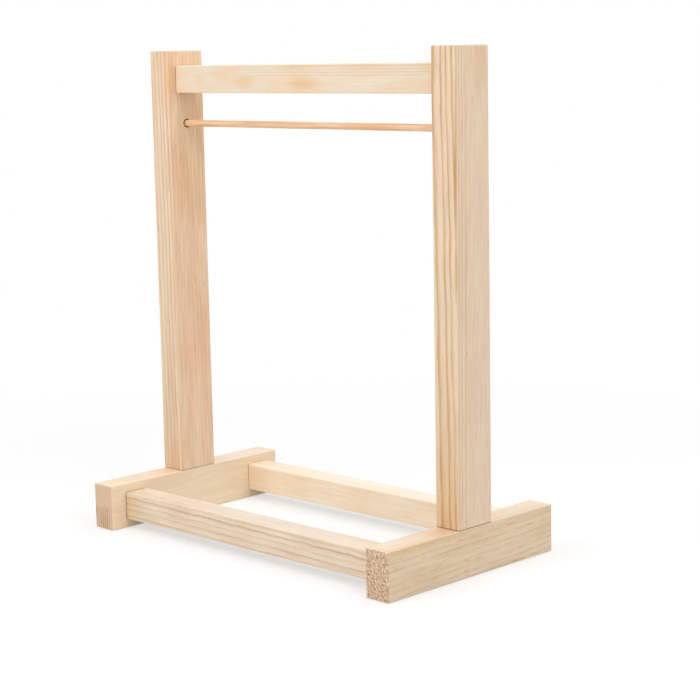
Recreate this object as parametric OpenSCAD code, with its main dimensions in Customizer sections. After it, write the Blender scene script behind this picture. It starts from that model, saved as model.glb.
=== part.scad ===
// A small wooden clothes rack for childrens and dolls clothes.
// Two feet carry two posts. Two stretchers tie the feet, a rail ties the posts,
// and a thin round rod turns loosely in blind holes below the rail.
// X runs across the rack, Y from front to back, Z up. The origin is on the ground, in the middle.

/* [Overall size] */
// Width over the outer faces of the feet
rack_width = 180; // [140:1:300]
// Length of the feet, which is the depth of the rack
rack_depth = 100; // [80:1:160]
// Height from the ground to the tops of the posts
rack_height = 210; // [150:1:400]

/* [Feet and posts] */
// Thickness of the feet and the posts, side to side
board_thickness = 12; // [10:0.5:18]
// Height of the feet
foot_height = 20; // [16:0.5:30]
// Depth of the posts, front to back
post_depth = 20; // [16:0.5:30]
// How far the posts stand behind the middle of the feet
post_set_back = 1; // [-4:0.5:4]

/* [Top rail] */
// Depth of the top rail, front to back
rail_depth = 12; // [8:0.5:16]
// Height of the top rail
rail_height = 12; // [8:0.5:20]
// How far the rail lies below the tops of the posts
rail_drop = 6.5; // [0:0.5:20]

/* [Stretchers] */
// Depth of both stretchers, front to back
stretcher_depth = 12; // [8:0.5:14]
// Height of both stretchers
stretcher_height = 12; // [8:0.5:16]
// Distance from the front ends of the feet to the front stretcher
front_inset = 8; // [2:0.5:10]
// Distance from the back ends of the feet to the back stretcher
back_inset = 6; // [2:0.5:10]

/* [Hanging rod] */
// Diameter of the rod
rod_diameter = 3; // [2:0.1:5]
// Clear height between the rod and the rail, for the hooks of the hangers
hook_gap = 12; // [8:0.5:30]
// Depth of the blind hole in each post
socket_depth = 6; // [4:0.5:8]
// Play all round the rod in its holes
rod_clearance = 0.1; // [0.05:0.01:0.1]
// Play at each end of the rod, lengthwise
end_play = 0.5; // [0.2:0.1:1]
// Width of the eased mouth of each hole
mouth_ease = 0.4; // [0.2:0.1:0.6]

/* [Blind dowels] */
// Diameter of the dowels
dowel_diameter = 4; // [3:0.5:5]
// How far a dowel reaches into each of the two pieces that it joins
dowel_reach = 7; // [5:0.5:8]
// Distance between the two dowels under each post
dowel_spacing = 10; // [7:0.5:10]
// Room for glue all round a dowel
glue_film = 0.05; // [0.02:0.01:0.1]
// Room for glue past each end of a dowel
glue_pocket = 0.5; // [0.2:0.1:1]

/* [Finish] */
// Width of the sanded bevel on every edge of the sticks
edge_ease = 0.5; // [0.2:0.1:1]
// Width of the bevel round the ends of the rod and the dowels
tip_ease = 0.4; // [0.2:0.1:0.6]

/* [Hidden] */
$fn = 64;

left = -1;
right = 1;
front = -1;
back = 1;

// Distance between the inner faces of the feet, and of the posts
inner_span = rack_width - 2 * board_thickness;
// Middle of the right foot and the right post, across the rack
board_x = (rack_width - board_thickness) / 2;
post_length = rack_height - foot_height;
stretcher_z = foot_height / 2;
front_stretcher_y = -rack_depth / 2 + front_inset + stretcher_depth / 2;
back_stretcher_y = rack_depth / 2 - back_inset - stretcher_depth / 2;
rail_z = rack_height - rail_drop - rail_height / 2;
rod_z = rail_z - rail_height / 2 - hook_gap - rod_diameter / 2;
rod_length = inner_span + 2 * (socket_depth - end_play);
socket_radius = rod_diameter / 2 + rod_clearance;

pine = "#EBD2AE";
pale_pine = "#F3DEBF";
rod_wood = "#E0B183";
dowel_wood = "#D9B98C";

// Rectangle about the origin with its four corners cut by the sanded bevel
module eased_rectangle(width, height) {
    x = width / 2;
    y = height / 2;
    e = edge_ease;
    polygon([
        [x - e, y], [x, y - e], [x, e - y], [x - e, -y],
        [e - x, -y], [-x, e - y], [-x, y - e], [e - x, y]
    ]);
}

// Square-sawn stick about the origin with every edge eased
module stick(size) {
    intersection() {
        linear_extrude(height = size.z, center = true)
            eased_rectangle(size.x, size.y);
        rotate([90, 0, 0])
            linear_extrude(height = size.y, center = true)
                eased_rectangle(size.x, size.z);
        rotate([90, 0, 90])
            linear_extrude(height = size.x, center = true)
                eased_rectangle(size.y, size.z);
    }
}

// Round stick about the origin, along Z, with a bevel round each end
module round_stick(diameter, length) {
    r = diameter / 2;
    h = length / 2;
    rotate_extrude()
        polygon([
            [0, -h], [r - tip_ease, -h], [r, tip_ease - h],
            [r, h - tip_ease], [r - tip_ease, h], [0, h]
        ]);
}

// Turns what stands along Z so that it lies along X
module along_x() {
    rotate([0, 90, 0])
        children();
}

module dowel() {
    color(dowel_wood)
        round_stick(dowel_diameter, 2 * dowel_reach);
}

// The two blind holes of one dowel, about the joint where its pieces meet
module dowel_holes() {
    cylinder(d = dowel_diameter + 2 * glue_film, h = 2 * (dowel_reach + glue_pocket), center = true);
}

// Place of a dowel between a post and its foot
module at_post_joint(side, end) {
    translate([side * board_x, post_set_back + end * dowel_spacing / 2, foot_height])
        children();
}

// Place of a dowel at the end of a stick that runs across the rack
module at_cross_joint(side, y, z) {
    translate([side * inner_span / 2, y, z])
        along_x()
            children();
}

// Blind hole for one end of the rod, with its eased mouth
module rod_socket(side) {
    translate([side * inner_span / 2, post_set_back, rod_z])
        rotate([0, side * 90, 0]) {
            cylinder(r = socket_radius, h = 2 * socket_depth, center = true);
            cylinder(r1 = socket_radius + 2 * mouth_ease, r2 = socket_radius, h = 2 * mouth_ease, center = true);
        }
}

module foot(side) {
    color(pine)
        difference() {
            translate([side * board_x, 0, foot_height / 2])
                stick([board_thickness, rack_depth, foot_height]);
            for (end = [front, back])
                at_post_joint(side, end)
                    dowel_holes();
            for (y = [front_stretcher_y, back_stretcher_y])
                at_cross_joint(side, y, stretcher_z)
                    dowel_holes();
        }
}

module post(side) {
    color(pine)
        difference() {
            translate([side * board_x, post_set_back, foot_height + post_length / 2])
                stick([board_thickness, post_depth, post_length]);
            for (end = [front, back])
                at_post_joint(side, end)
                    dowel_holes();
            at_cross_joint(side, post_set_back, rail_z)
                dowel_holes();
            rod_socket(side);
        }
}

// Stick between the two feet or the two posts, with a dowel hole in each end
module cross_stick(depth, height, y, z) {
    color(pale_pine)
        difference() {
            translate([0, y, z])
                stick([inner_span, depth, height]);
            for (side = [left, right])
                at_cross_joint(side, y, z)
                    dowel_holes();
        }
}

module left_foot() {
    foot(left);
}

module right_foot() {
    foot(right);
}

module left_post() {
    post(left);
}

module right_post() {
    post(right);
}

module front_stretcher() {
    cross_stick(stretcher_depth, stretcher_height, front_stretcher_y, stretcher_z);
}

module back_stretcher() {
    cross_stick(stretcher_depth, stretcher_height, back_stretcher_y, stretcher_z);
}

module top_rail() {
    cross_stick(rail_depth, rail_height, post_set_back, rail_z);
}

module hanging_rod() {
    color(rod_wood)
        translate([0, post_set_back, rod_z])
            along_x()
                round_stick(rod_diameter, rod_length);
}

module left_post_front_dowel() {
    at_post_joint(left, front) dowel();
}

module left_post_back_dowel() {
    at_post_joint(left, back) dowel();
}

module right_post_front_dowel() {
    at_post_joint(right, front) dowel();
}

module right_post_back_dowel() {
    at_post_joint(right, back) dowel();
}

module left_rail_dowel() {
    at_cross_joint(left, post_set_back, rail_z) dowel();
}

module right_rail_dowel() {
    at_cross_joint(right, post_set_back, rail_z) dowel();
}

module front_stretcher_left_dowel() {
    at_cross_joint(left, front_stretcher_y, stretcher_z) dowel();
}

module front_stretcher_right_dowel() {
    at_cross_joint(right, front_stretcher_y, stretcher_z) dowel();
}

module back_stretcher_left_dowel() {
    at_cross_joint(left, back_stretcher_y, stretcher_z) dowel();
}

module back_stretcher_right_dowel() {
    at_cross_joint(right, back_stretcher_y, stretcher_z) dowel();
}

left_foot();
right_foot();
left_post();
right_post();
front_stretcher();
back_stretcher();
top_rail();
hanging_rod();
left_post_front_dowel();
left_post_back_dowel();
right_post_front_dowel();
right_post_back_dowel();
left_rail_dowel();
right_rail_dowel();
front_stretcher_left_dowel();
front_stretcher_right_dowel();
back_stretcher_left_dowel();
back_stretcher_right_dowel();
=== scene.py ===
from math import atan2, cos, pi, radians, sin

import bpy
from mathutils import Matrix, Vector


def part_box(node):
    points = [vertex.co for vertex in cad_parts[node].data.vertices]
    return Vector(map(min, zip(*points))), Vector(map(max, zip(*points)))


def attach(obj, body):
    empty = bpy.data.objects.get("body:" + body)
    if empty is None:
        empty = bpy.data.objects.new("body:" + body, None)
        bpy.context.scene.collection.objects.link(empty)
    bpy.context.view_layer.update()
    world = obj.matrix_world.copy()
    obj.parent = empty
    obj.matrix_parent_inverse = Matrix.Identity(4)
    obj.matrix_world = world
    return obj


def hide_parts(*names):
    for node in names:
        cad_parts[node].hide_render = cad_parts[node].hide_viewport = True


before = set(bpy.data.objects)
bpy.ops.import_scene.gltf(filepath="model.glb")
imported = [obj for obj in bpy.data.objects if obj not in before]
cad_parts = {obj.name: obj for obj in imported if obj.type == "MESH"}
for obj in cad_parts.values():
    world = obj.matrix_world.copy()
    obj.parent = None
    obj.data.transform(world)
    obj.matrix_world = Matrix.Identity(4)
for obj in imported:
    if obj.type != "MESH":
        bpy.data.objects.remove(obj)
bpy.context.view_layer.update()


# Studio
# The rack stands on a white table under soft lamps: a large one above, one in front and a
# weaker one from the right, so that tops are the lightest and the right-hand sides the darkest.
def linear(hex_colour):
    """A colour written as sRGB hex, as a shader's linear values, by the sRGB standard's own curve."""
    channels = [int(hex_colour[i:i + 2], 16) / 255 for i in (1, 3, 5)]
    return [c / 12.92 if c <= 0.04045 else ((c + 0.055) / 1.055) ** 2.4 for c in channels] + [1.0]


def put(tree, kind, inputs=None, **settings):
    """Adds one node with its settings, and sets or links its inputs."""
    made = tree.nodes.new(kind)
    for key, value in settings.items():
        setattr(made, key, value)
    for key, value in (inputs or {}).items():
        if isinstance(value, bpy.types.NodeSocket):
            tree.links.new(value, made.inputs[key])
        else:
            made.inputs[key].default_value = value
    return made


# Where a Mix node takes the second colour's share and the two colours, and where it gives the blend.
share_in, first_in, second_in = 0, 6, 7
blend_out = 2

scene = bpy.context.scene
scene.view_settings.view_transform = "Standard"

# The camera stands to the front and right of the rack, level with the tops of the posts.
camera_azimuth = 44.5
camera_elevation = 9.19
camera_roll = -1.11
camera_distance = 0.7733
camera_aim = Vector((0.0227, 0.0, 0.0850))
focal_pixels = 1848.1
frame_pixels = 700
sensor_width = 36.0
nearest_seen = 0.01

bpy.ops.object.select_all(action="DESELECT")
bpy.ops.object.camera_add()
camera = bpy.context.object
camera.name = "studio_camera"
turn = (
    Matrix.Rotation(radians(camera_azimuth), 3, "Z")
    @ Matrix.Rotation(radians(90 - camera_elevation), 3, "X")
    @ Matrix.Rotation(radians(camera_roll), 3, "Z")
)
camera.rotation_euler = turn.to_euler()
camera.location = camera_aim + turn @ Vector((0, 0, camera_distance))
camera.data.sensor_width = sensor_width
camera.data.lens = focal_pixels * sensor_width / frame_pixels
camera.data.clip_start = nearest_seen
scene.camera = camera

# The world is plain white where the camera or a reflection looks at it, and dimmer as a lamp.
world_lamp = 0.62
plain_white = 1.0
world = bpy.data.worlds.new("white_studio")
scene.world = world
world.use_nodes = True
air = world.node_tree
air.nodes.clear()
white = linear("#FFFFFF")
seen = put(air, "ShaderNodeLightPath")
lamp = put(air, "ShaderNodeBackground", {"Color": white, "Strength": world_lamp})
backdrop = put(air, "ShaderNodeBackground", {"Color": white, "Strength": plain_white})
looked_at = put(air, "ShaderNodeMath", {
    0: seen.outputs["Is Camera Ray"], 1: seen.outputs["Is Glossy Ray"]}, operation="MAXIMUM")
shown = put(air, "ShaderNodeMath", {
    0: looked_at.outputs[0], 1: seen.outputs["Is Transmission Ray"]}, operation="MAXIMUM")
either = put(air, "ShaderNodeMixShader", {
    0: shown.outputs[0], 1: lamp.outputs[0], 2: backdrop.outputs[0]})
put(air, "ShaderNodeOutputWorld", {"Surface": either.outputs[0]})

rack_middle = Vector((0, 0, 0.1))


def soft_lamp(name, place, size, power):
    """A square soft lamp that faces the middle of the rack."""
    bpy.ops.object.light_add(type="AREA", location=place)
    made = bpy.context.object
    made.name = name
    made.rotation_euler = (Vector(place) - rack_middle).to_track_quat("Z", "Y").to_euler()
    made.data.size = size
    made.data.energy = power


soft_lamp("top_lamp", place=(0.05, 0.28, 0.80), size=0.5, power=1.6)
soft_lamp("front_lamp", place=(-0.10, -0.50, 0.48), size=0.35, power=1.3)
soft_lamp("right_lamp", place=(0.48, -0.12, 0.58), size=0.35, power=1.1)

# A white laminate table top, large enough to fill the view, a hair below the feet. Satin plastic
# gives the eye a plain field with no gloss. The camera sees it fade to plain white away from the
# rack, and near the feet a share of it keeps their soft shadow.
table_size = 6.0
table_drop = 0.0002
table_lit = "#D8D8D6"
table_seen = "#FCFCFC"
table_roughness = 0.75
shadow_reach = 0.16
fade_reach = 0.42
shadow_share = 0.45
bpy.ops.object.select_all(action="DESELECT")
bpy.ops.mesh.primitive_plane_add(size=table_size, location=(0, 0, -table_drop))
table = bpy.context.object
table.name = "table_top"
bpy.ops.object.transform_apply(location=True, rotation=True, scale=True)
laminate = bpy.data.materials.new("white_laminate")
laminate.use_nodes = True
sheet = laminate.node_tree
satin = sheet.nodes["Principled BSDF"]
satin.inputs["Roughness"].default_value = table_roughness
spot = put(sheet, "ShaderNodeTexCoord")
reach = put(sheet, "ShaderNodeVectorMath", {0: spot.outputs["Object"]}, operation="LENGTH")
fade = put(sheet, "ShaderNodeMapRange", {
    "Value": reach.outputs["Value"], "From Min": shadow_reach, "From Max": fade_reach,
    "To Min": 1 - shadow_share, "To Max": 1.0}, interpolation_type="SMOOTHSTEP")
ray = put(sheet, "ShaderNodeLightPath")
mirrored = put(sheet, "ShaderNodeMath", {
    0: ray.outputs["Is Camera Ray"], 1: ray.outputs["Is Glossy Ray"]}, operation="MAXIMUM")
table_white = put(sheet, "ShaderNodeMix", {
    share_in: mirrored.outputs[0], first_in: linear(table_lit), second_in: linear(table_seen)},
    data_type="RGBA")
sheet.links.new(table_white.outputs[blend_out], satin.inputs["Base Color"])
bare = put(sheet, "ShaderNodeMath", {0: mirrored.outputs[0], 1: fade.outputs[0]}, operation="MULTIPLY")
plain = put(sheet, "ShaderNodeEmission", {"Color": white, "Strength": plain_white})
covered = put(sheet, "ShaderNodeMixShader", {0: bare.outputs[0], 1: satin.outputs[0], 2: plain.outputs[0]})
sheet.links.new(covered.outputs[0], sheet.nodes["Material Output"].inputs["Surface"])
table.data.materials.append(laminate)


# Feet
# Two pine sticks on edge, sawn, planed and sanded, with no varnish, that carry everything.
# Their front ends show raw end grain: fine slanting rings on the right foot, upright ones on
# the left. Blind dowels hold the posts on top of them and the stretchers between them.
dowel_names = [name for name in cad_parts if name.endswith("_dowel")]
glue_film = 0.00005
glue_pocket = 0.0005
hole_facets = 48
one_millimetre = 0.001


def cut_away(piece, cutter):
    """Cuts one closed mesh out of a stick, and removes that mesh."""
    bpy.ops.object.select_all(action="DESELECT")
    bpy.context.view_layer.objects.active = piece
    cut = piece.modifiers.new("hole", "BOOLEAN")
    cut.operation = "DIFFERENCE"
    cut.solver = "EXACT"
    cut.object = cutter
    bpy.ops.object.modifier_apply(modifier=cut.name)
    bpy.data.objects.remove(cutter)


def drill(piece, dowel):
    """Drills the blind hole of one dowel out of a stick, with room for glue round and past it."""
    low, high = [Vector(corner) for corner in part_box(dowel)]
    size = high - low
    longest = max(range(3), key=lambda i: size[i])
    turns_to_lie_along = [(0, pi / 2, 0), (pi / 2, 0, 0), (0, 0, 0)]
    bpy.ops.object.select_all(action="DESELECT")
    bpy.ops.mesh.primitive_cylinder_add(
        vertices=hole_facets, radius=min(size) / 2 + glue_film, depth=size[longest] + 2 * glue_pocket,
        location=(low + high) / 2, rotation=turns_to_lie_along[longest])
    cut_away(piece, bpy.context.object)


def runs_along(mesh, edge, long_axis):
    """Whether an edge runs along the stick, and not across it."""
    start, end = [mesh.vertices[i].co for i in edge.vertices]
    return abs(start[long_axis] - end[long_axis]) > one_millimetre


def part_long_edges(piece, long_axis, lengths):
    """Parts the edges along a stick into short lengths, so that each can be shaped by itself."""
    bpy.ops.object.mode_set(mode="EDIT")
    bpy.ops.mesh.select_mode(type="EDGE")
    bpy.ops.mesh.select_all(action="DESELECT")
    bpy.ops.object.mode_set(mode="OBJECT")
    for edge in piece.data.edges:
        edge.select = runs_along(piece.data, edge, long_axis)
    bpy.ops.object.mode_set(mode="EDIT")
    bpy.ops.mesh.subdivide(number_cuts=lengths - 1)
    bpy.ops.object.mode_set(mode="OBJECT")


# Every edge is eased with sandpaper: the short ones fully, the long ones a little less. The hand
# isn't even, so two waves that run through the stick make the easing wider and narrower.
long_edge_lengths = 32
sanded_edge = 0.00055
long_edge_share = 0.85
usual_sanding = 0.8
slow_wave = 0.12
quick_wave = 0.08
quick_wave_rate = 2.7
quick_wave_start = 1.3
wave_direction = Vector((0.31, 0.47, 0.23))
millimetres_in_metre = 1000
rounding_steps = 3
smooth_below = 40
same_place = 1e-6


def sand_edges(piece, low, high, long_axis):
    """Rounds the edges of a stick unevenly. The rims of its holes stay as they were drilled."""
    mesh = piece.data
    weight = mesh.attributes.new("bevel_weight_edge", "FLOAT", "EDGE")

    # An edge of the stick lies in two of its outer faces, and the rim of a hole in only one.
    for edge in mesh.edges:
        start, end = [mesh.vertices[i].co for i in edge.vertices]
        outer_faces = 0
        for i in range(3):
            level = abs(start[i] - end[i]) < same_place
            on_face = min(abs(start[i] - low[i]), abs(start[i] - high[i])) < same_place
            outer_faces += level and on_face
        if outer_faces >= 2:
            where = millimetres_in_metre * (start + end).dot(wave_direction)
            eased = usual_sanding + slow_wave * sin(where)
            eased += quick_wave * sin(quick_wave_rate * where + quick_wave_start)
            share = long_edge_share if runs_along(mesh, edge, long_axis) else 1.0
            weight.data[edge.index].value = share * eased
    sanding = piece.modifiers.new("sanding", "BEVEL")
    sanding.limit_method = "WEIGHT"
    sanding.width = sanded_edge
    sanding.segments = rounding_steps
    bpy.ops.object.modifier_apply(modifier=sanding.name)
    piece.select_set(True)
    bpy.ops.object.shade_smooth_by_angle(angle=radians(smooth_below))
    flatten = piece.modifiers.new("flat_faces", "WEIGHTED_NORMAL")
    flatten.keep_sharp = True
    bpy.ops.object.modifier_apply(modifier=flatten.name)


def stick(name, node, long_axis, bore=None):
    """A planed stick in its node's place, drilled for its dowels, with its edges sanded unevenly."""
    low, high = [Vector(corner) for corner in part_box(node)]
    bpy.ops.object.select_all(action="DESELECT")
    bpy.ops.mesh.primitive_cube_add(size=1, location=(low + high) / 2, scale=high - low)
    piece = bpy.context.object
    piece.name = name
    bpy.ops.object.transform_apply(location=True, rotation=True, scale=True)
    part_long_edges(piece, long_axis, long_edge_lengths)
    for dowel in dowel_names:
        near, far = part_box(dowel)
        if all(near[i] < high[i] + one_millimetre and far[i] > low[i] - one_millimetre for i in range(3)):
            drill(piece, dowel)
    if bore:
        bore(piece)
    sand_edges(piece, low, high, long_axis)
    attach(piece, "frame")
    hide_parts(node)
    return piece


def pine(name, axes, corner, facing, years, early, late, blush, bold, end_early="#EDCFB2",
         end_late="#B78A68", level=0.0, lean=0.0, strengths=None, sharp=1.0, waver=0.3, ripple=0.035,
         whole=40.0, gaps=0.5, quiet=(), crumbs=0.3, streaks=1.0, canals=0.25, joints=(), clouds=()):
    """Raw pine sawn from a log, with its growth rings, fibres and end grain, in millimetres.

    axes: the two axes across the stick and the one along it. corner: one corner of its section.
    facing: the direction from the pith to the stick, in degrees across the section. years: how far
    past the corner, that way, each ring's dark line stands, at the given level along the stick.
    lean: how far the log leans against the stick, in degrees.
    early, late and blush: the colours of spring wood, summer wood and the soft pinker patches.
    end_early and end_late: spring and summer wood where they are cut across, on the ends.
    bold: how dark the lines are. strengths: how dark each year's line is among them. Without
    them, some years come out a little darker than others.
    sharp: how much finer the lines are than the summer wood. waver and ripple: how far the rings
    wander, and how often in a millimetre. whole and gaps: how many millimetres a line stays whole,
    and how much of it is left between.
    quiet: for each mask, the axis across, where the lines are faint, where they are full, and how
    faint. crumbs: how torn the end grain is. streaks: how strong the plane's streaks are. canals:
    how dark the resin canals are. joints: the glued ends' places along the stick, how dark the painted
    shade in their grooves is, and its colour. clouds: the places, half sizes, strengths and colours of
    soft patches, some of them wood tone and some of them painted light and shade.
    """
    wood = bpy.data.materials.new(name)
    wood.use_nodes = True
    tree = wood.node_tree
    shader = tree.nodes["Principled BSDF"]
    pith_away = 140.0
    pith = (corner[0] - pith_away * cos(radians(facing)), corner[1] - pith_away * sin(radians(facing)))

    # The object's own place in millimetres, turned so that the grain runs along Z, and then seen
    # from the pith: X runs outwards through the rings, and Y along them. Each pattern below says
    # how many of its cells fit in a millimetre: outwards, along the ring and along the stick.
    place = put(tree, "ShaderNodeTexCoord")
    metres = put(tree, "ShaderNodeSeparateXYZ", {0: place.outputs["Object"]})
    turned = put(tree, "ShaderNodeCombineXYZ", dict(zip("XYZ", [metres.outputs[axis] for axis in axes])))
    grain = put(tree, "ShaderNodeVectorMath", {0: turned.outputs[0], 1: (millimetres_in_metre,) * 3},
                operation="MULTIPLY")
    log = put(tree, "ShaderNodeMapping", {
        "Vector": grain.outputs[0], "Location": (*pith, 0), "Rotation": (0, radians(lean), radians(facing))},
        vector_type="TEXTURE")

    # Rings: the distance from the pith, bent a little along the trunk, read off as years. The noise
    # that bends them keeps near its middle, so it is given four times the reach.
    bend_cells = (0.09, 0.09, ripple)
    bend_reach = 4 * waver
    flat = put(tree, "ShaderNodeVectorMath", {0: log.outputs[0], 1: (1, 1, 0)}, operation="MULTIPLY")
    radius = put(tree, "ShaderNodeVectorMath", {0: flat.outputs[0]}, operation="LENGTH")
    slow = put(tree, "ShaderNodeVectorMath", {0: log.outputs[0], 1: bend_cells}, operation="MULTIPLY")
    bend = put(tree, "ShaderNodeTexNoise", {"Vector": slow.outputs[0], "Scale": 1.0, "Detail": 3.0})
    bent = put(tree, "ShaderNodeMath", {0: bend.outputs["Fac"], 1: bend_reach, 2: radius.outputs["Value"]},
               operation="MULTIPLY_ADD")
    margin = 2.0
    shift = pith_away - sin(radians(lean)) * level + bend_reach / 2
    first, last = years[0] - margin, years[-1] + margin
    age = put(tree, "ShaderNodeMapRange", {
        "Value": bent.outputs[0], "From Min": first + shift, "From Max": last + shift})

    # The calendar holds the number of each year in red and the strength of its line in green.
    calendar = put(tree, "ShaderNodeValToRGB", {0: age.outputs[0]})
    year_to_year = 5.3
    strengths = strengths or [0.75 + 0.25 * sin(year_to_year * number) for number in range(len(years))]
    for number, (year, strength) in enumerate(zip(years, strengths)):
        mark = calendar.color_ramp.elements.new((year - first) / (last - first))
        mark.color = ((number + 1) / (len(years) + 1), strength, 0, 1)
    calendar.color_ramp.elements[0].color = (0, strengths[0], 0, 1)
    calendar.color_ramp.elements[-1].color = (1, strengths[-1], 0, 1)
    read = put(tree, "ShaderNodeSeparateXYZ", {0: calendar.outputs["Color"]})
    count = put(tree, "ShaderNodeMath", {0: read.outputs["X"], 1: len(years) + 1}, operation="MULTIPLY")
    season = put(tree, "ShaderNodeMath", {0: count.outputs[0]}, operation="FRACT")

    # Summer wood: through the year each ring darkens slowly and ends sharply.
    darkening = ((0.30, 0.04), (0.55, 0.30), (0.74, 0.95), (0.84, 1.0), (0.94, 0.7))
    new_year = 0.1
    summer = put(tree, "ShaderNodeValToRGB", {0: season.outputs[0]})
    for part_of_year, value in darkening:
        summer.color_ramp.elements.new(part_of_year).color = (value, value, value, 1)
    summer.color_ramp.elements[0].color = (0, 0, 0, 1)
    summer.color_ramp.elements[-1].color = (new_year, new_year, new_year, 1)

    # A line fades in and out along the stick, and is fainter where a mask is quiet.
    fading_cells = (0.35, 0.35, 1 / whole)
    along = put(tree, "ShaderNodeVectorMath", {0: log.outputs[0], 1: fading_cells}, operation="MULTIPLY")
    fade_noise = put(tree, "ShaderNodeTexNoise", {"Vector": along.outputs[0], "Scale": 1.0, "Detail": 3.0})
    fading = put(tree, "ShaderNodeMapRange", {
        "Value": fade_noise.outputs["Fac"], "From Min": 0.32, "From Max": 0.6,
        "To Min": gaps * bold, "To Max": bold})
    fined = put(tree, "ShaderNodeMath", {0: summer.outputs["Color"], 1: sharp}, operation="POWER")
    line = put(tree, "ShaderNodeMath", {0: fined.outputs[0], 1: read.outputs["Y"]}, operation="MULTIPLY")
    drawn = put(tree, "ShaderNodeMath", {0: line.outputs[0], 1: fading.outputs[0]}, operation="MULTIPLY")
    lines = drawn.outputs[0]
    section = put(tree, "ShaderNodeSeparateXYZ", {0: grain.outputs[0]})
    for axis, faint_at, full_at, faintness in quiet:
        calm = put(tree, "ShaderNodeMapRange", {
            "Value": section.outputs[axis], "From Min": faint_at, "From Max": full_at,
            "To Min": faintness, "To Max": 1.0}, interpolation_type="SMOOTHSTEP")
        calmed = put(tree, "ShaderNodeMath", {0: lines, 1: calm.outputs[0]}, operation="MULTIPLY")
        lines = calmed.outputs[0]

    # Fibres, a third of a millimetre wide. Real ones are ten times finer, too fine to show.
    fibre_cells = (2.6, 2.6, 0.08)
    thin = put(tree, "ShaderNodeVectorMath", {0: log.outputs[0], 1: fibre_cells}, operation="MULTIPLY")
    fibre = put(tree, "ShaderNodeTexNoise", {"Vector": thin.outputs[0], "Scale": 1.0, "Detail": 2.0})
    # Streaks, a millimetre wide and some ten long, where the plane caught the grain.
    streak_cells = (0.95, 0.95, 0.07)
    caught = put(tree, "ShaderNodeVectorMath", {0: log.outputs[0], 1: streak_cells}, operation="MULTIPLY")
    streak = put(tree, "ShaderNodeTexNoise", {"Vector": caught.outputs[0], "Scale": 1.0, "Detail": 3.0})
    # Soft patches of pinker wood, a few centimetres long.
    patch_cells = (0.16, 0.16, 0.03)
    wide = put(tree, "ShaderNodeVectorMath", {0: log.outputs[0], 1: patch_cells}, operation="MULTIPLY")
    patch = put(tree, "ShaderNodeTexNoise", {"Vector": wide.outputs[0], "Scale": 1.0, "Detail": 1.0})
    patches = put(tree, "ShaderNodeMapRange", {
        "Value": patch.outputs["Fac"], "From Min": 0.38, "From Max": 0.62})
    # Short resin canals, seen as brown dashes a few millimetres long. Real ones are a fifth of a
    # millimetre wide, and these are about twice that, so that they show.
    canal_cells = (1.5, 1.5, 0.19)
    short = put(tree, "ShaderNodeVectorMath", {0: log.outputs[0], 1: canal_cells}, operation="MULTIPLY")
    canal = put(tree, "ShaderNodeTexNoise", {"Vector": short.outputs[0], "Scale": 1.0, "Detail": 0.0})
    dashes = put(tree, "ShaderNodeMapRange", {
        "Value": canal.outputs["Fac"], "From Min": 0.73, "From Max": 0.84, "To Max": canals})

    # Colour of the long faces: the two tones of the board, its soft clouds, and the lines on them.
    tone = put(tree, "ShaderNodeMix", {
        share_in: patches.outputs[0], first_in: linear(early), second_in: linear(blush)}, data_type="RGBA")
    clouded = tone.outputs[blend_out]
    for centre, half_size, strength, shade in clouds:
        away = put(tree, "ShaderNodeVectorMath", {0: grain.outputs[0], 1: centre}, operation="SUBTRACT")
        scaled = put(tree, "ShaderNodeVectorMath", {0: away.outputs[0], 1: half_size}, operation="DIVIDE")
        off = put(tree, "ShaderNodeVectorMath", {0: scaled.outputs[0]}, operation="LENGTH")
        soft = put(tree, "ShaderNodeMapRange", {
            "Value": off.outputs["Value"], "From Min": 1.0, "From Max": 0.2, "To Max": strength},
            interpolation_type="SMOOTHSTEP")
        cloud = put(tree, "ShaderNodeMix", {
            share_in: soft.outputs[0], first_in: clouded, second_in: linear(shade)}, data_type="RGBA")
        clouded = cloud.outputs[blend_out]
    lined = put(tree, "ShaderNodeMix", {
        share_in: lines, first_in: clouded, second_in: linear(late)}, data_type="RGBA")
    dashed = put(tree, "ShaderNodeMix", {
        share_in: dashes.outputs[0], first_in: lined.outputs[blend_out], second_in: linear(late)},
        data_type="RGBA")

    # End grain: the cut fibres drink the light. Torn crumbs of it run along the rings, a third of a
    # millimetre wide, and the saw left short strokes across them.
    crumb_cells = (3.4, 0.66, 0.4)
    stroke_cells = (1.15, 4.3, 0.4)
    saw_slant = 24
    stroke_share = 0.36
    end_tone = 0.42
    crumb_reach = 0.55 * crumbs
    torn = put(tree, "ShaderNodeVectorMath", {0: log.outputs[0], 1: crumb_cells}, operation="MULTIPLY")
    crumb = put(tree, "ShaderNodeTexNoise", {
        "Vector": torn.outputs[0], "Scale": 1.0, "Detail": 3.0, "Roughness": 0.6})
    sawn = put(tree, "ShaderNodeMapping", {
        "Vector": grain.outputs[0], "Rotation": (0, 0, radians(saw_slant))}, vector_type="TEXTURE")
    stroke = put(tree, "ShaderNodeVectorMath", {0: sawn.outputs[0], 1: stroke_cells}, operation="MULTIPLY")
    strokes = put(tree, "ShaderNodeTexNoise", {"Vector": stroke.outputs[0], "Scale": 1.0, "Detail": 2.0})
    rough = put(tree, "ShaderNodeMath", {
        0: strokes.outputs["Fac"], 1: stroke_share, 2: crumb.outputs["Fac"]}, operation="MULTIPLY_ADD")
    crumbled = put(tree, "ShaderNodeMapRange", {
        "Value": rough.outputs[0], "From Min": 0.56, "From Max": 0.8,
        "To Min": end_tone - crumb_reach, "To Max": end_tone + crumb_reach})
    specks = put(tree, "ShaderNodeMath", {0: lines, 1: crumbled.outputs[0]}, operation="ADD")
    end = put(tree, "ShaderNodeMix", {
        share_in: specks.outputs[0], first_in: linear(end_early), second_in: linear(end_late)},
        data_type="RGBA")
    facing_way = put(tree, "ShaderNodeSeparateXYZ", {0: place.outputs["Normal"]})
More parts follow.
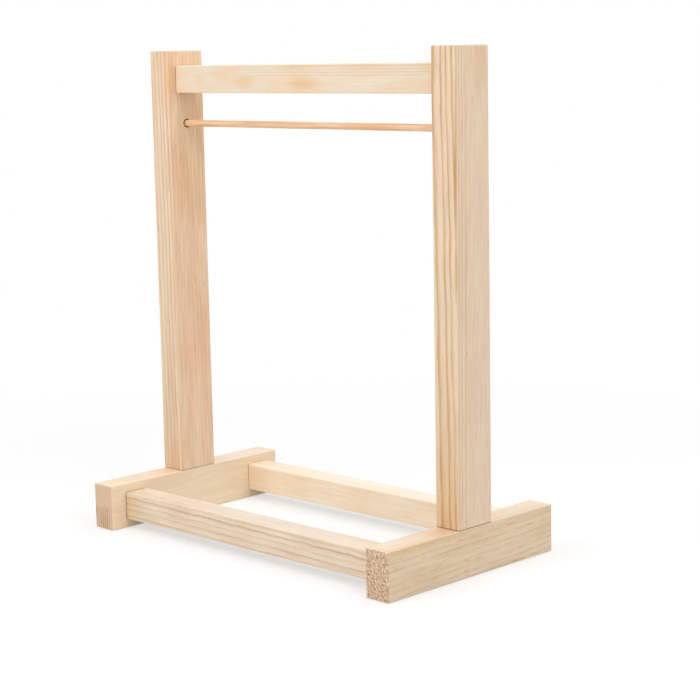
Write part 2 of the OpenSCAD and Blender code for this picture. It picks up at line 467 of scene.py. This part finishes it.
    endwise = put(tree, "ShaderNodeMath", {0: facing_way.outputs[axes[2]]}, operation="ABSOLUTE")
    ends = put(tree, "ShaderNodeMapRange", {"Value": endwise.outputs[0], "From Min": 0.55, "From Max": 0.85})
    cut = put(tree, "ShaderNodeMix", {
        share_in: ends.outputs[0], first_in: dashed.outputs[blend_out], second_in: end.outputs[blend_out]},
        data_type="RGBA")

    # Glued ends: a thin dark line round each joint, mostly painted shade of the groove where the sanded ends
    # meet, with a little glue and dust.
    seam_reach = 0.4
    joint_shaded = cut.outputs[blend_out]
    for joint, darkness, joint_shade_colour in joints:
        near = put(tree, "ShaderNodeMath", {0: section.outputs["Z"], 1: joint, 2: seam_reach},
                   operation="COMPARE")
        joint_shade = put(tree, "ShaderNodeMath", {0: near.outputs[0], 1: darkness}, operation="MULTIPLY")
        seam = put(tree, "ShaderNodeMix", {
            share_in: joint_shade.outputs[0], first_in: joint_shaded, second_in: linear(joint_shade_colour)}, data_type="RGBA")
        joint_shaded = seam.outputs[blend_out]

    # Fibre and streak tint, and sanded edges a little paler than the faces: partly the sanding, and
    # partly a painted highlight where the rounded edge catches the light. The fourth powers of the
    # surface's direction add up to 1 on a flat face, and to less on a rounded edge.
    darker, paler = 0.06 * streaks, 0.05 * streaks
    fine = put(tree, "ShaderNodeMapRange", {
        "Value": fibre.outputs["Fac"], "From Min": 0.3, "From Max": 0.7, "To Min": 0.965, "To Max": 1.03})
    coarse = put(tree, "ShaderNodeMapRange", {
        "Value": streak.outputs["Fac"], "From Min": 0.3, "From Max": 0.7,
        "To Min": 1 - darker, "To Max": 1 + paler})
    tint = put(tree, "ShaderNodeMath", {0: fine.outputs[0], 1: coarse.outputs[0]}, operation="MULTIPLY")
    squared = put(tree, "ShaderNodeVectorMath", {
        0: place.outputs["Normal"], 1: place.outputs["Normal"]}, operation="MULTIPLY")
    fourth = put(tree, "ShaderNodeVectorMath", {
        0: squared.outputs[0], 1: squared.outputs[0]}, operation="DOT_PRODUCT")
    edge_wear_and_highlight = put(tree, "ShaderNodeMapRange", {
        "Value": fourth.outputs["Value"], "From Min": 0.98, "From Max": 0.6, "To Min": 1.0, "To Max": 1.05})
    bright = put(tree, "ShaderNodeMath", {0: tint.outputs[0], 1: edge_wear_and_highlight.outputs[0]}, operation="MULTIPLY")
    colour = put(tree, "ShaderNodeVectorMath", {0: joint_shaded, 1: bright.outputs[0]}, operation="MULTIPLY")
    tree.links.new(colour.outputs[0], shader.inputs["Base Color"])

    # Planed pine has a dull sheen, a little duller on the summer wood. The lines stand up a little
    # from the fibres between them, and the torn ends are the roughest.
    line_relief = 0.8
    end_relief = 6 * crumbs
    dull = put(tree, "ShaderNodeMapRange", {"Value": lines, "To Min": 0.46, "To Max": 0.6})
    tree.links.new(dull.outputs[0], shader.inputs["Roughness"])
    shader.inputs["IOR"].default_value = 1.45
    shader.inputs["Sheen Weight"].default_value = 0.12
    shader.inputs["Sheen Roughness"].default_value = 0.4
    relief = put(tree, "ShaderNodeMath", {0: lines, 1: line_relief, 2: fibre.outputs["Fac"]},
                 operation="MULTIPLY_ADD")
    torn_end = put(tree, "ShaderNodeMath", {0: rough.outputs[0], 1: ends.outputs[0]}, operation="MULTIPLY")
    height = put(tree, "ShaderNodeMath", {0: torn_end.outputs[0], 1: end_relief, 2: relief.outputs[0]},
                 operation="MULTIPLY_ADD")
    bump = put(tree, "ShaderNodeBump", {"Height": height.outputs[0], "Strength": 0.5, "Distance": 0.00006})
    tree.links.new(bump.outputs[0], shader.inputs["Normal"])
    return wood


# Even, warm pine. Upright rings show low on the front end, and the top is plain, with a painted
# sheen. Its inner side is painted paler, as lit from the table.
left_foot = stick("left_foot_stick", "left_foot", long_axis=1)
left_foot.data.materials.append(pine(
    "raw_pine_left_foot", "XZY", corner=(-90, 20), facing=0, years=[1.6 + 1.31 * k for k in range(8)],
    early="#FCE5C6", late="#E0B684", blush="#F9DFC0", bold=0.8, end_early="#FFE2C1", end_late="#B0825C",
    quiet=(("Y", 11, 8, 0.08), ("X", -79.0, -81.0, 0.3)), crumbs=0.12, streaks=0.6, clouds=(
        # Painted light: the first cloud makes the inner side paler, as lit from the table.
        ((-78, 8, 10), (4, 16, 75), 0.95, "#FFEACC"), ((-84, 20, -16), (9, 3, 12), 0.3, "#F0C592"),
        # Painted sheen on the top, near the front and near the back.
        ((-84, 20, -36), (9, 2, 18), 0.6, "#E9D8BC"), ((-84, 20, 32), (9, 2, 22), 0.6, "#FFEFDF"))))

# Greyer pine with fine broken lines along its side. Its front end is torn and speckled, and a warm
# band runs just under the upper edge.
right_foot = stick("right_foot_stick", "right_foot", long_axis=1)
right_foot.data.materials.append(pine(
    "raw_pine_right_foot", "XZY", corner=(90, 20), facing=46, level=-37.5, lean=1.15,
    years=[-23.2, -21.4, -19.4, -17.6, -15.9, -14.0, -12.4, -10.6, -8.8, -7.0, -4.9, -3.0, -0.8],
    early="#EED7B8", late="#BD9966", blush="#E8CEAC", bold=0.45, end_early="#FFE4C4", end_late="#9C643A",
    sharp=2.2, whole=6.5, gaps=0.0, quiet=(("Y", 19.5, 14, 0.4),), crumbs=1.0, canals=0.5, clouds=(
        ((84, 20, -14), (9, 3, 11), 0.45, "#E2AE7C"), ((90, 20, -34), (3, 3, 26), 0.4, "#E6B684"),
        # Painted sheen on the top, near the front and near the back.
        ((83, 20, -38), (8, 2, 18), 0.6, "#F2E0D2"), ((84, 20, 32), (9, 2, 22), 0.5, "#F0DECF"),
        ((90, 18.4, -36), (2, 1.7, 18), 0.6, "#F0CC9C"), ((90, 17.2, -6), (2, 1.7, 24), 0.5, "#F0CC9C"),
        ((90, 16.2, 26), (2, 1.6, 24), 0.4, "#F0CC9C"))))


# Posts
# Two pine sticks that stand on the feet, flush with both faces, each on two blind dowels and glue.
# The right one was cut so that strong orange lines run up its narrow front face. Each has a blind
# hole for the rod in its inner face, drilled a little loose, with a torn mouth. The hole's wall is
# painted dark brown as the shade inside it.
bore_radius = 0.0016
mouth_radius = 0.0020
mouth_depth = 0.0012
socket_depth = 0.006
socket_facets = 40
rod_low, rod_high = [Vector(corner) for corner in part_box("hanging_rod")]
rod_middle = (rod_low + rod_high) / 2

# The mouth is frayed by three broad dents and seven small ones, each a share of its radius. They
# reach a hair into the post. The end of the hole is the face that looks squarely at the rod.
broad_dents = 3
broad_dent_depth = 0.035
small_dents = 7
small_dent_depth = 0.03
fraying_reach = 0.0001
squarely = 0.9


def rod_socket(piece):
    """Drills the rod's blind hole into the inner face of a post, with a frayed, widened mouth."""
    side = 1 if piece.data.vertices[0].co.x > 0 else -1
    inner_face = side * min(abs(v.co.x) for v in piece.data.vertices)
    straight = socket_depth - mouth_depth
    bpy.ops.object.select_all(action="DESELECT")
    bpy.ops.mesh.primitive_cylinder_add(
        vertices=socket_facets, radius=bore_radius, depth=straight, rotation=(0, pi / 2, 0),
        location=(inner_face + side * (mouth_depth + straight / 2), rod_middle.y, rod_middle.z))
    cutter = bpy.context.object
    bpy.ops.object.transform_apply(location=True, rotation=True, scale=True)

    # The end towards the rod is drawn out to the post's face and widened, and a millimetre beyond.
    bpy.ops.object.mode_set(mode="EDIT")
    bpy.ops.mesh.select_mode(type="FACE")
    bpy.ops.mesh.select_all(action="DESELECT")
    bpy.ops.object.mode_set(mode="OBJECT")
    for face in cutter.data.polygons:
        face.select = face.normal.x * side < -squarely
    bpy.ops.object.mode_set(mode="EDIT")
    bpy.ops.mesh.extrude_region_move(TRANSFORM_OT_translate={"value": (-side * mouth_depth, 0, 0)})
    widening = mouth_radius / bore_radius
    bpy.ops.transform.resize(
        value=(1, widening, widening), center_override=(inner_face, rod_middle.y, rod_middle.z))
    bpy.ops.mesh.extrude_region_move(TRANSFORM_OT_translate={"value": (-side * one_millimetre, 0, 0)})
    bpy.ops.object.mode_set(mode="OBJECT")
    for vertex in cutter.data.vertices:
        if (inner_face - vertex.co.x) * side > -fraying_reach:
            out = Vector((0, vertex.co.y - rod_middle.y, vertex.co.z - rod_middle.z))
            angle = atan2(out.z, out.y)
            broad = broad_dent_depth * sin(broad_dents * angle + side)
            small = small_dent_depth * sin(small_dents * angle + 2 * side)
            vertex.co += out * (broad + small)
    cut_away(piece, cutter)


# The wall of a drilled hole: pine cut across its fibres, painted dark brown for the deep shade
# inside the hole. It gives the eye a dull brown crescent beside the rod, with frayed specks half a
# millimetre wide.
fray_cells = 1600.0
drilled = bpy.data.materials.new("drilled_wall_painted_shade")
drilled.use_nodes = True
wall = drilled.node_tree
wall_shader = wall.nodes["Principled BSDF"]
wall_place = put(wall, "ShaderNodeTexCoord")
frayed = put(wall, "ShaderNodeTexNoise", {
    "Vector": wall_place.outputs["Object"], "Scale": fray_cells, "Detail": 3.0})
wall_shade_tone = put(wall, "ShaderNodeMix", {
    share_in: frayed.outputs["Fac"], first_in: linear("#6E3208"), second_in: linear("#BC6C22")},
    data_type="RGBA")
wall.links.new(wall_shade_tone.outputs[blend_out], wall_shader.inputs["Base Color"])
wall_shader.inputs["Roughness"].default_value = 0.85
wall_shader.inputs["Specular IOR Level"].default_value = 0.15
fray = put(wall, "ShaderNodeBump", {"Height": frayed.outputs["Fac"], "Strength": 0.6, "Distance": 0.0001})
wall.links.new(fray.outputs[0], wall_shader.inputs["Normal"])

# What counts as that wall: faces behind the post's own face, within the hole and a tenth more.
wall_starts = 0.00002
wall_allowance = 1.1


def shade_hole_wall(piece):
    """Gives the faces inside the rod's hole the drilled wall's material, with its painted shade."""
    piece.data.materials.append(drilled)
    inner_face = min(abs(v.co.x) for v in piece.data.vertices)
    for face in piece.data.polygons:
        off = Vector((0, face.center.y - rod_middle.y, face.center.z - rod_middle.z))
        depth = abs(face.center.x) - inner_face
        inside = wall_starts < depth < wall_allowance * socket_depth
        if inside and off.length < wall_allowance * mouth_radius:
            face.material_index = 1


# Warm pine with close, even lines up its front. Its inner side is pinker, and the plane streaked it.
# Some of its clouds are painted light and shade: the rail's shadow beside and below the rail, a paler
# low inner side lit from the table, and a front that darkens towards the foot.
left_post = stick("left_post_stick", "left_post", long_axis=2, bore=rod_socket)
left_post.data.materials.append(pine(
    "raw_pine_left_post", "XYZ", corner=(-90, -9), facing=52, level=194, lean=-0.573,
    years=[-1.1, 0.5, 2.04, 3.58, 5.0, 6.8, 8.4, 10.1, 11.7, 13.3, 14.9, 16.6, 18.2, 19.9, 21.5, 23.2],
    early="#F8DDBF", late="#B98A5B", blush="#F2CBA8", bold=0.7, sharp=1.35,
    quiet=(("X", -78.3, -79.5, 0.33),), streaks=1.3, canals=0.3, joints=((20, 0.45, "#7E4A1C"),), clouds=(
        ((-78, 1, 90), (3, 17, 100), 0.5, "#F3C49E"), ((-84, -9, 120), (9, 3, 130), 0.6, "#EDD9BD"),
        # Painted shade of the rail on the inner side, beside its end and below it.
        ((-78, -7, 197), (4, 4, 14), 0.5, "#E8B878"), ((-78, 3, 162), (5, 14, 46), 0.32, "#E8B878"),
        # Painted shade: the front darkens towards the foot. Painted light: the inner side is paler low down.
        ((-84, -9, 20), (9, 4, 85), 0.3, "#CFA67C"), ((-78, 3, 20), (3, 12, 60), 0.4, "#FFE6C6"))))
shade_hole_wall(left_post)

# Pale pine with strong orange lines up its front. Its outer side is nearly plain.
right_post = stick("right_post_stick", "right_post", long_axis=2, bore=rod_socket)
right_post.data.materials.append(pine(
    "raw_pine_right_post", "XYZ", corner=(90, -9), facing=118, level=194, lean=0.504,
    years=[0.95, 2.4, 3.8, 6.1, 8.0, 9.2, 10.5, 12.2, 13.8, 15.4, 17.1, 18.7, 20.3, 22.0, 23.6],
    strengths=[1.0, 0.75, 0.85, 0.9, 0.5] + [0.7] * 10,
    early="#EFD9BA", late="#C8954E", blush="#F0D3B7", bold=0.92, sharp=1.4,
    quiet=(("Y", 1, -5, 0.1), ("Y", -8.0, -8.9, 0.5)), canals=0.32, joints=((20, 0.58, "#7E4A1C"),), clouds=(
        # The first cloud is painted shade: the front darkens towards the foot.
        ((84, -9, 20), (9, 4, 80), 0.4, "#D8A56A"), ((90, 7, 204), (4, 9, 18), 0.35, "#D9B07C"))))
shade_hole_wall(right_post)


# Stretchers
# Two square pine sticks between the inner faces of the feet, glued and held by one blind dowel at
# each end. They keep the feet apart and square. The front one is lined, the back one plain.
front_stretcher = stick("front_stretcher_stick", "front_stretcher", long_axis=0)
front_stretcher.data.materials.append(pine(
    "raw_pine_front_stretcher", "YZX", corner=(-42, 16), facing=85, lean=-0.69,
    years=[-13.4, -10.7, -7.8, -5.2, -2.5, -0.2, 2.4], strengths=[0.6, 0.6, 0.65, 0.4, 1.0, 0.25, 0.2],
    early="#F3E0C6", late="#B49269", blush="#F0D6BC", bold=0.7, waver=0.32, ripple=0.12,
    joints=((-78, 1.0, "#5F401E"), (78, 0.35, "#8A6238")), clouds=(
        # The first cloud is a painted sheen on the top.
        ((-36, 16, 12), (10, 2.5, 90), 0.6, "#E4D7CA"), ((-42, 10, -75), (4, 9, 11), 0.35, "#E3BC80"))))

back_stretcher = stick("back_stretcher_stick", "back_stretcher", long_axis=0)
back_stretcher.data.materials.append(pine(
    "raw_pine_back_stretcher", "YZX", corner=(32, 16), facing=80, years=[-13.0 + 2.4 * k for k in range(7)],
    early="#FFEED4", late="#EDCB9D", blush="#FDE6CA", bold=0.14, streaks=0.5,
    joints=((-78, 0.7, "#B98A55"), (78, 0.3, "#8A6238")), clouds=(
        # The first cloud is a painted sheen on the top.
        ((38, 16, 0), (9, 2, 90), 0.5, "#FFF3E6"), ((32, 10, -72), (4, 9, 20), 0.25, "#F8D09A"))))


# Top rail
# A square pine stick glued between the inner faces of the posts, with a blind dowel at each end.
# It keeps the posts upright. Fine lines run along its upper third, and the rest is plain but for
# three honey-coloured clouds.
top_rail = stick("top_rail_stick", "top_rail", long_axis=0)
top_rail.data.materials.append(pine(
    "raw_pine_top_rail", "YZX", corner=(-5, 203.5), facing=75,
    years=[-13.3, -12.1, -10.8, -9.5, -8.2, -6.9, -5.6, -4.25, -3.0, -1.74, -0.58, 0.7, 2.0, 3.3],
    early="#F0DFC8", late="#C9A073", blush="#F1D7B7", bold=0.62, sharp=1.5, waver=0.15,
    quiet=(("Y", 197.8, 199.3, 0.05), ("Z", -70, 30, 0.3)), streaks=0.4, canals=0.1,
    joints=((-78, 0.75, "#8A6238"), (78, 0.1, "#8A6238")), clouds=(
        ((-5, 195.6, 4), (4, 4.2, 13), 0.5, "#E8B878"), ((-5, 197, -62), (4, 3.8, 6), 0.28, "#E8B878"),
        ((-5, 196, -33), (4, 4.2, 9), 0.4, "#E8B878"))))


# Hanging rod
# A thin round bamboo stick, scraped to size, that lies loose in the blind holes of the posts.
# Clothes hangers hook over it. It is the darkest piece, orange-tan, with fine straight fibres.
rod_facets = 32
rod_lengths = 64
bpy.ops.object.select_all(action="DESELECT")
bpy.ops.mesh.primitive_cylinder_add(
    vertices=rod_facets, radius=(rod_high.z - rod_low.z) / 2, depth=rod_high.x - rod_low.x,
    location=rod_middle, rotation=(0, pi / 2, 0))
rod = bpy.context.object
rod.name = "hanging_rod_stick"
bpy.ops.object.transform_apply(location=True, rotation=True, scale=True)
part_long_edges(rod, long_axis=0, lengths=rod_lengths)

# It is scraped by hand, so two waves that wind along it make it thinner in places and never thicker.
scrape_depth = 0.00004
long_wind = 95
short_wind = 230
for vertex in rod.data.vertices:
    out = Vector((0, vertex.co.y - rod_middle.y, vertex.co.z - rod_middle.z))
    angle = atan2(out.z, out.y)
    wave = sin(long_wind * vertex.co.x + 2 * angle) + sin(short_wind * vertex.co.x - 3 * angle + 1)
    vertex.co -= out.normalized() * scrape_depth * (2 - wave) / 4

# The rims of its two ends are eased, and its narrow facets are shaded as one round surface.
tip_corner = 60
tip_ease = 0.0004
rod_smooth_below = 35
tips = rod.modifiers.new("tips", "BEVEL")
tips.limit_method = "ANGLE"
tips.angle_limit = radians(tip_corner)
tips.width = tip_ease
tips.segments = rounding_steps
bpy.ops.object.modifier_apply(modifier=tips.name)
bpy.ops.object.shade_smooth_by_angle(angle=radians(rod_smooth_below))

# Scraped bamboo: straight bundles of fibres, darker than the pulp between them, give the eye fine
# lengthwise streaks and a soft shine. They are half a millimetre wide and 25 long. The tone also
# changes every couple of centimetres along the stick.
bundle_cells = (40, 1900, 1900)
tone_cells = (45, 0, 0)
bamboo = bpy.data.materials.new("scraped_bamboo")
bamboo.use_nodes = True
cane = bamboo.node_tree
skin = cane.nodes["Principled BSDF"]
cane_place = put(cane, "ShaderNodeTexCoord")
bundles = put(cane, "ShaderNodeVectorMath", {0: cane_place.outputs["Object"], 1: bundle_cells},
              operation="MULTIPLY")
strand = put(cane, "ShaderNodeTexNoise", {"Vector": bundles.outputs[0], "Scale": 1.0, "Detail": 2.0})
strands = put(cane, "ShaderNodeMapRange", {
    "Value": strand.outputs["Fac"], "From Min": 0.35, "From Max": 0.65})
tan = put(cane, "ShaderNodeMix", {
    share_in: strands.outputs[0], first_in: linear("#E6B27F"), second_in: linear("#FBD6B1")},
    data_type="RGBA")
lengths = put(cane, "ShaderNodeVectorMath", {0: cane_place.outputs["Object"], 1: tone_cells},
              operation="MULTIPLY")
stretch = put(cane, "ShaderNodeTexNoise", {"Vector": lengths.outputs[0], "Scale": 1.0, "Detail": 2.0})
shade = put(cane, "ShaderNodeMapRange", {
    "Value": stretch.outputs["Fac"], "From Min": 0.3, "From Max": 0.7, "To Min": 0.92, "To Max": 1.06})
rod_colour = put(cane, "ShaderNodeVectorMath", {0: tan.outputs[blend_out], 1: shade.outputs[0]},
                 operation="MULTIPLY")

# Inside its holes the stick is painted dark brown, as the shade in the holes.
hole_shade_from = 0.0779
hole_shade_to = 0.0782
axis_place = put(cane, "ShaderNodeSeparateXYZ", {0: cane_place.outputs["Object"]})
outward = put(cane, "ShaderNodeMath", {0: axis_place.outputs["X"]}, operation="ABSOLUTE")
hole_shade = put(cane, "ShaderNodeMapRange", {
    "Value": outward.outputs[0], "From Min": hole_shade_from, "From Max": hole_shade_to})
hole_shaded_ends = put(cane, "ShaderNodeMix", {
    share_in: hole_shade.outputs[0], first_in: rod_colour.outputs[0], second_in: linear("#7C4A1C")},
    data_type="RGBA")
cane.links.new(hole_shaded_ends.outputs[blend_out], skin.inputs["Base Color"])

# The bundles are polished, and the pulp between them is duller. Together they feel finely grooved.
polish = put(cane, "ShaderNodeMapRange", {"Value": strand.outputs["Fac"], "To Min": 0.38, "To Max": 0.55})
cane.links.new(polish.outputs[0], skin.inputs["Roughness"])
grooves = put(cane, "ShaderNodeBump", {
    "Height": strand.outputs["Fac"], "Strength": 0.5, "Distance": 0.00005})
cane.links.new(grooves.outputs[0], skin.inputs["Normal"])
rod.data.materials.append(bamboo)
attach(rod, "rod")
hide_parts("hanging_rod")


# Dowels
# Ten short turned beech pins, glued into blind holes across the joints. They hold the rack together
# where nothing shows. Their CAD shape is right, so only the material is new.

# Turned beech gives the eye an even, dull tan with small darker flecks, about a millimetre wide.
fleck_cells = 900.0
beech = bpy.data.materials.new("turned_beech")
beech.use_nodes = True
pin = beech.node_tree
pin_shader = pin.nodes["Principled BSDF"]
pin_place = put(pin, "ShaderNodeTexCoord")
flecks = put(pin, "ShaderNodeTexNoise", {
    "Vector": pin_place.outputs["Object"], "Scale": fleck_cells, "Detail": 2.0})
pin_colour = put(pin, "ShaderNodeMix", {
    share_in: flecks.outputs["Fac"], first_in: linear("#C99F72"), second_in: linear("#DDBB93")},
    data_type="RGBA")
pin.links.new(pin_colour.outputs[blend_out], pin_shader.inputs["Base Color"])
pin_shader.inputs["Roughness"].default_value = 0.6
for name in dowel_names:
    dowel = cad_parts[name]
    dowel.data.materials.clear()
    dowel.data.materials.append(beech)
